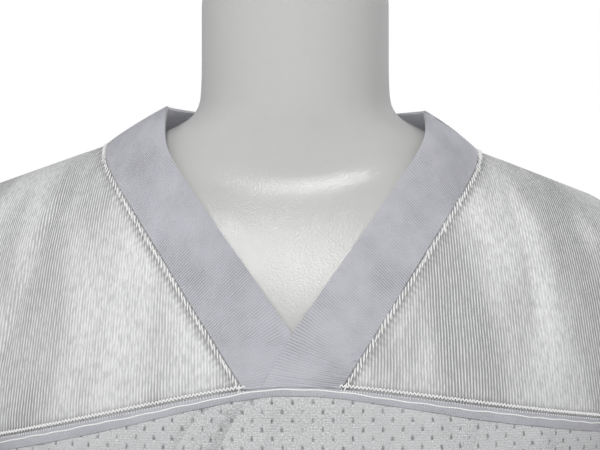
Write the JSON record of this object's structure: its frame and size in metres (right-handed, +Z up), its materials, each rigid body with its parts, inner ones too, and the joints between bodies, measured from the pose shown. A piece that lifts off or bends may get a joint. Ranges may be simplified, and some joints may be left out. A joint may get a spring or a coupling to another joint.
{
  "type": "football jersey on a torso display form",
  "caption": "Short-sleeved V-neck football jersey with ribbed-sheen yokes, flat-knit neck band and porthole-mesh body, on a limbless countertop torso form with a round base.",
  "frame": {"origin": "middle of the underside of the round base, on the surface that it stands on", "axes": "+Z up, -Y to the front of the jersey, +X to the wearer's left"},
  "size_m": [0.5844, 0.33, 1.0093],
  "materials": {
    "dazzle": "white warp-knit with fine vertical ribs and a soft sheen",
    "mesh": "white matte knit with small staggered holes",
    "rib": "cool white matte flat knit with fine courses",
    "form": "satin white moulded plastic with a faint orange peel",
    "chrome": "satin plated steel"
  },
  "bodies": {
    "root": {"yoke_front_right": "dazzle", "yoke_front_left": "dazzle", "yoke_back": "dazzle", "sleeve_right": "dazzle", "sleeve_left": "dazzle", "collar_band": "rib", "seam_tape_front": "rib", "seam_tape_back": "rib", "body_front": "mesh", "body_back": "mesh", "form_torso": "form", "form_neck_cap": "chrome", "stand_flange": "chrome", "stand_pole": "chrome", "stand_socket": "chrome", "stand_base": "chrome"}
  },
  "joints": []
}
